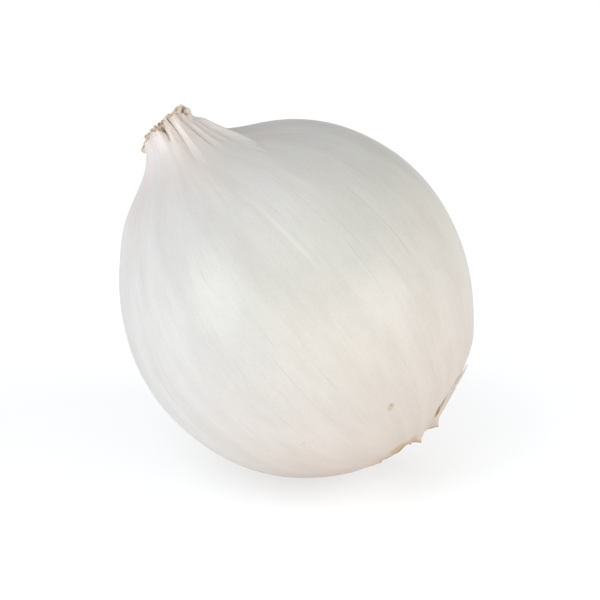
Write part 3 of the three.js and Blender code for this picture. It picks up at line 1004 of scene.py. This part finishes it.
def makeCamera():
    # back = (sin a cos e, -cos a cos e, sin e), and the camera stands at the aim plus back times the distance
    a, e = np.radians(camera["azimuth"]), np.radians(camera["elevation"])
    back = Vector((np.sin(a) * np.cos(e), -np.cos(a) * np.cos(e), np.sin(e)))
    right = Vector((np.cos(a), np.sin(a), 0))
    above = back.cross(right)
    aim = Vector(camera["aim"]) + camera["aimRight"] * right + camera["aimUp"] * above
    data = bpy.data.cameras.new("camera")
    data.sensor_width = 36
    data.lens = 36 * camera["distance"] / camera["widthSeen"]
    data.clip_start, data.clip_end = 0.01, 20
    made = bpy.data.objects.new("camera", data)
    bpy.context.scene.collection.objects.link(made)
    turned = Matrix((right, above, back)).transposed().to_4x4()
    made.matrix_world = Matrix.Translation((aim + camera["distance"] * back) * mm) @ turned
    bpy.context.scene.camera = made
    return right, back


right, back = makeCamera()

# Light and floor
lights = [
    # name, degrees to the right of the camera, degrees up, distance and size in metres, watts
    ("left softbox", -51, 11, 1.1, 0.7, 5.35),
    ("right softbox", 60, 12, 1.1, 0.7, 4.25),
    ("top softbox", 0, 80, 1.1, 0.7, 1.0),
]
# These light the floor alone, and the onion shades it from them
floorLights = [
    ("left floor light", -66, 54, 1.1, 0.8, 5.1),
    ("right floor light", 78, 38, 1.1, 0.8, 5.6),
]
studio = {
    "skyBehind": 0.42,  # its strength beyond the onion
    "skyInFront": 0.54,
    "floorHalf": 6.0,  # half its width in metres, and how far it lies under the onion
    "floorBelow": 0.00002,
    "floor": 0.45,  # as it lights the onion
    "floorGlow": 0.3,
    "floorSeen": (0.405, 0.418, 0.43),  # as the camera sees it
    "floorSeenGlow": 0.575,
}


def makeLights(group, receivers=None):
    # each softbox stands at its bearing and height round the onion and faces it
    flatBack = Vector((back.x, back.y, 0)).normalized()
    target = Vector((0, 0, 0.04))
    for name, bearing, height, distance, size, watts in group:
        data = bpy.data.lights.new(name, "AREA")
        data.shape = "SQUARE"
        data.size = size
        data.energy = watts
        made = bpy.data.objects.new(name, data)
        bpy.context.scene.collection.objects.link(made)
        turn, rise = radians(bearing), radians(height)
        level = sin(turn) * right + cos(turn) * flatBack
        made.location = target + distance * (cos(rise) * level + sin(rise) * Vector((0, 0, 1)))
        made.rotation_mode = "QUATERNION"
        made.rotation_quaternion = (made.location - target).to_track_quat("Z", "Y")
        if receivers:
            made.light_linking.receiver_collection = receivers


def makeFloor():
    # a wide square just under the onion: a light grey that glows and so lights the onion from below like a
    # lamp, and for the camera a brighter glow that makes it pure white away from the shadow
    half, low = studio["floorHalf"], -studio["floorBelow"]
    corners = np.array([[-half, -half, low], [half, -half, low], [half, half, low], [-half, half, low]])
    floor = makeMesh("floor", [(corners, np.array([[0, 1, 2, 3]]), {})])
    material, tree, shader = newMaterial("glowing white floor")
    shader.inputs["Base Color"].default_value = (studio["floor"],) * 3 + (1,)
    shader.inputs["Roughness"].default_value = 0.9
    shader.inputs["Emission Color"].default_value = (1, 1, 1, 1)
    shader.inputs["Emission Strength"].default_value = studio["floorGlow"]
    seen = addNode(tree, "ShaderNodeLightPath").outputs["Is Camera Ray"]
    white = addNode(tree, "ShaderNodeBsdfDiffuse", {"Color": studio["floorSeen"] + (1,)}).outputs[0]
    glow = addNode(tree, "ShaderNodeEmission", {"Strength": studio["floorSeenGlow"]}).outputs[0]
    white = addNode(tree, "ShaderNodeAddShader", {0: white, 1: glow}).outputs[0]
    both = addNode(tree, "ShaderNodeMixShader", {0: seen, 1: shader.outputs[0], 2: white}).outputs[0]
    tree.links.new(both, tree.nodes["Material Output"].inputs["Surface"])
    floor.data.materials.append(material)
    return floor


def makeSky():
    # a white sky whose strength rises from the far side of the onion round to the camera's side
    world = bpy.data.worlds.new("studio")
    bpy.context.scene.world = world
    world.use_nodes = True
    tree = world.node_tree
    sky = tree.nodes["Background"]
    sky.inputs["Color"].default_value = (1, 1, 1, 1)
    side = alongDirection(tree, addNode(tree, "ShaderNodeTexCoord").outputs["Generated"], back)
    strength = between(tree, side, -1, 1, studio["skyBehind"], studio["skyInFront"])
    tree.links.new(strength, sky.inputs["Strength"])


floorOnly = bpy.data.collections.new("lit by the floor lights")
floorOnly.objects.link(makeFloor())
makeLights(lights)
makeLights(floorLights, floorOnly)
makeSky()
bpy.context.scene.view_settings.view_transform = "Standard"
print("studio made")
